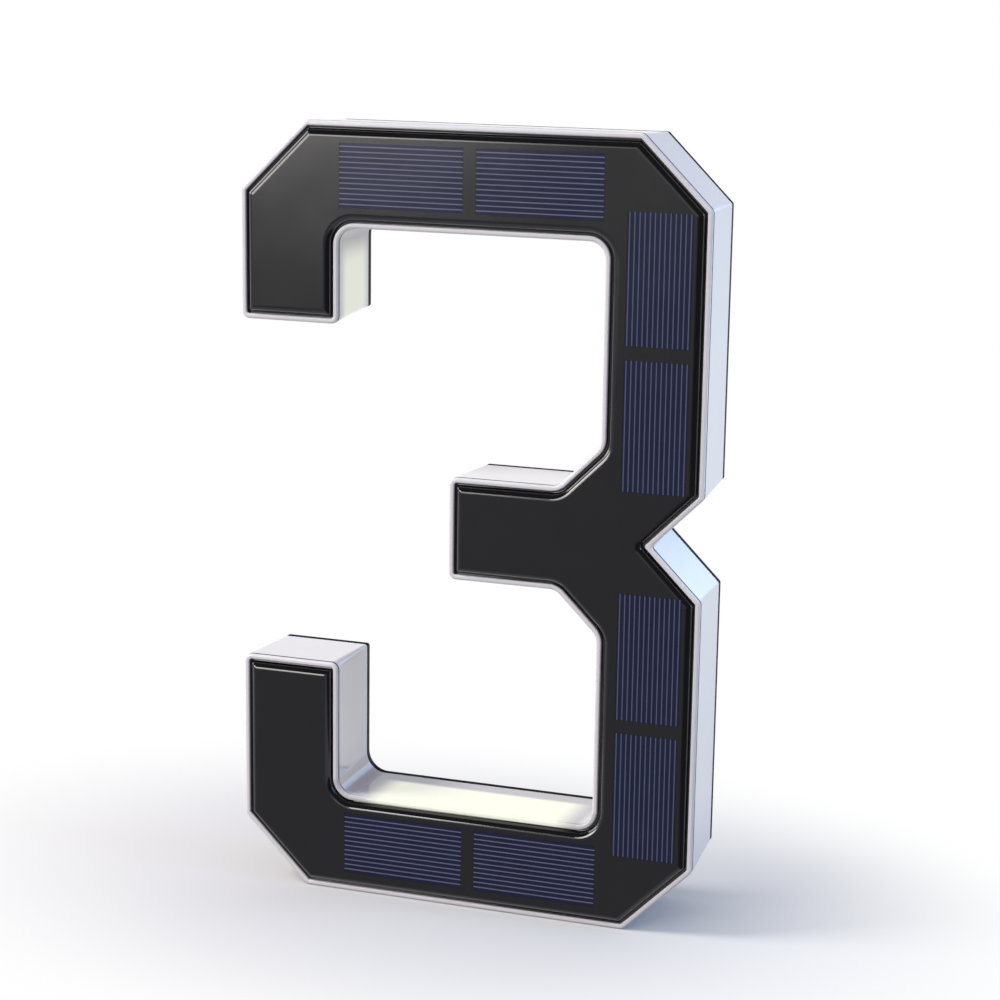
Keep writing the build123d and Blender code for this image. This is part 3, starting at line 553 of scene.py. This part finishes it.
# floor, light and camera
studio = dict(
    floorSize=14.0, floorLight=(0.73, 0.72, 0.71), floorDark=(0.71, 0.70, 0.69),
    floorCloud=3.0, floorRough=0.9, floorSpecular=0.1,
    bounce=0.38,  # share of the floor's colour that is left for light bouncing off it
    # the floor that the camera sees fades to plain white towards this oval round the sign
    whiteCentre=(-0.009, 0.003, 0.0), whiteReach=(0.132, 0.09, 1.0),
    whiteFrom=0.31, whiteTo=1.05,
    horizon=(0.31, 0.265, 0.315), zenith=(0.60, 0.61, 0.68), background=(1.0, 1.0, 1.0),
    # the studio's dim side, behind the camera and to its right, and its dim floor and height:
    # only a gloss shows them
    dimTowards=(0.82, -0.57, 0.0), dimFrom=0.40, dimTo=0.85, dimColour=(0.05, 0.05, 0.055),
    dimCentre=(0.055, -0.01, 0.0),
    frontFrom=0.02, frontTo=-0.015, frontColour=(0.31, 0.31, 0.33),
    skyFrom=0.12, skyTo=0.42,
    lamps=[
        dict(name="keyLamp", place=(-0.75, -0.35, 1.05), size=(0.34, 0.34), power=9.6,
             colour=(1.0, 0.98, 0.95), gloss=False),
        dict(name="leftLamp", place=(-0.72, -1.00, 0.29), size=(0.75, 0.40), power=5.4,
             colour=(1.0, 0.97, 0.94)),
        dict(name="sideLamp", place=(-1.05, -0.10, 0.42), size=(0.50, 0.50), power=1.8,
             colour=(1.0, 0.98, 0.96)),
        dict(name="rightLamp", place=(0.42, 0.00, 0.25), size=(0.20, 0.20), power=0.60,
             colour=(0.14, 0.42, 1.0)),
        dict(name="nearLamp", place=(0.14, -0.01, 0.112), size=(0.04, 0.04), power=0.028,
             colour=(0.90, 1.0, 0.75), gloss=False),
        dict(name="cornerLamp", place=(0.34, 1.10, 0.33), size=(0.26, 0.34), power=0.56,
             colour=(0.34, 0.60, 1.0)),
    ],
    aim=(0.0, 0.0, 0.08),
)


def lightRays(tree):
    # what the camera looks at, straight or by way of a gloss or glass, and a gloss alone
    rays = addNode(tree, "ShaderNodeLightPath").outputs
    seen = mathNode(tree, "MAXIMUM", rays["Is Camera Ray"], rays["Is Glossy Ray"])
    return mathNode(tree, "MAXIMUM", seen, rays["Is Transmission Ray"]), rays["Is Glossy Ray"]


def dimSide(tree, vector, settings):
    # 1 towards the dim side, by the level direction alone
    level = vectorMath(tree, "MULTIPLY", vector, (1.0, 1.0, 0.0))
    unit = vectorMath(tree, "NORMALIZE", level)
    turn = vectorMath(tree, "DOT_PRODUCT", unit, settings["dimTowards"])
    return rangeNode(tree, turn, settings["dimFrom"], settings["dimTo"], smooth=True)


def makeFloor(settings):
    deselectAll()
    bpy.ops.mesh.primitive_plane_add(size=settings["floorSize"])
    floor = bpy.context.object
    floor.name = "floor"
    material = bpy.data.materials.new("floorWhite")
    material.use_nodes = True
    tree = material.node_tree
    shader = tree.nodes["Principled BSDF"]
    place = addNode(tree, "ShaderNodeTexCoord").outputs["Object"]
    colour = useGroup(tree, clouding, {"Vector": place, "Scale": settings["floorCloud"],
                                       "Light": rgb(*settings["floorLight"]),
                                       "Dark": rgb(*settings["floorDark"])})["Colour"]
    seen, gloss = lightRays(tree)
    plain = mixColour(tree, 1.0, colour, rgb(*[settings["bounce"]] * 3), "MULTIPLY")
    tree.links.new(mixColour(tree, seen, plain, colour), shader.inputs["Base Color"])
    shader.inputs["Roughness"].default_value = settings["floorRough"]
    shader.inputs["Specular IOR Level"].default_value = settings["floorSpecular"]

    # plain white away from the sign; a gloss sees it dimmer in front and on the dim side
    apart = vectorMath(tree, "SUBTRACT", place, settings["whiteCentre"])
    length = vectorMath(tree, "LENGTH", vectorMath(tree, "DIVIDE", apart, settings["whiteReach"]))
    far = rangeNode(tree, length, settings["whiteFrom"], settings["whiteTo"], smooth=True)
    depth = alongAxis(tree, place, "Y")
    front = rangeNode(tree, depth, settings["frontFrom"], settings["frontTo"], smooth=True)
    fromCentre = vectorMath(tree, "SUBTRACT", place, settings["dimCentre"])
    dim = dimSide(tree, fromCentre, settings)
    side = mixColour(tree, front, rgb(*settings["background"]), rgb(*settings["frontColour"]))
    side = mixColour(tree, dim, side, rgb(*settings["dimColour"]))
    dimmed = mathNode(tree, "MULTIPLY", gloss, mathNode(tree, "MAXIMUM", front, dim))
    white = addNode(tree, "ShaderNodeEmission",
                    {"Color": mixColour(tree, gloss, rgb(*settings["background"]), side)})
    share = mathNode(tree, "MAXIMUM", mathNode(tree, "MULTIPLY", far, seen), dimmed)
    mix = addNode(tree, "ShaderNodeMixShader", {0: share, 1: shader.outputs[0],
                                                2: white.outputs[0]})
    tree.links.new(mix.outputs[0], tree.nodes["Material Output"].inputs["Surface"])
    floor.data.materials.append(material)


def makeWorld(settings):
    world = bpy.data.worlds.new("studio")
    bpy.context.scene.world = world
    world.use_nodes = True
    tree = world.node_tree
    towards = addNode(tree, "ShaderNodeTexCoord").outputs["Generated"]
    height = alongAxis(tree, towards, "Z")
    soft = tree.nodes["Background"]
    tree.links.new(mixColour(tree, rangeNode(tree, height, 0.0, 1.0), rgb(*settings["horizon"]),
                             rgb(*settings["zenith"])), soft.inputs["Color"])
    seen, gloss = lightRays(tree)
    high = rangeNode(tree, height, settings["skyFrom"], settings["skyTo"], smooth=True)
    away = mathNode(tree, "MAXIMUM", high, dimSide(tree, towards, settings))
    side = mixColour(tree, away, rgb(*settings["background"]), rgb(*settings["dimColour"]))
    white = addNode(tree, "ShaderNodeBackground",
                    {"Color": mixColour(tree, gloss, rgb(*settings["background"]), side)})
    mix = addNode(tree, "ShaderNodeMixShader", {0: seen, 1: soft.outputs[0], 2: white.outputs[0]})
    tree.links.new(mix.outputs[0], tree.nodes["World Output"].inputs["Surface"])


def addLamp(lamp, aim):
    data = bpy.data.lights.new(lamp["name"], "AREA")
    data.shape = "RECTANGLE"
    data.size, data.size_y = lamp["size"]
    data.energy = lamp["power"]
    data.color = lamp["colour"]
    piece = bpy.data.objects.new(lamp["name"], data)
    bpy.context.scene.collection.objects.link(piece)
    piece.location = lamp["place"]
    away = Vector(aim) - Vector(lamp["place"])
    piece.rotation_euler = away.to_track_quat("-Z", "Y").to_euler()
    piece.visible_camera = False
    piece.visible_glossy = lamp.get("gloss", True)


makeFloor(studio)
makeWorld(studio)
for lamp in studio["lamps"]:
    addLamp(lamp, studio["aim"])

cameraView = dict(place=(0.16178, -0.46489, 0.19422), turn=(77.393, -0.846, 18.963), lens=89.39,
                  nearest=0.01)
cameraData = bpy.data.cameras.new("camera")
cameraData.lens = cameraView["lens"]
cameraData.clip_start = cameraView["nearest"]
camera = bpy.data.objects.new("camera", cameraData)
bpy.context.scene.collection.objects.link(camera)
camera.location = cameraView["place"]
camera.rotation_euler = [radians(angle) for angle in cameraView["turn"]]
bpy.context.scene.camera = camera
bpy.context.scene.view_settings.view_transform = "Standard"
print("studio ready")
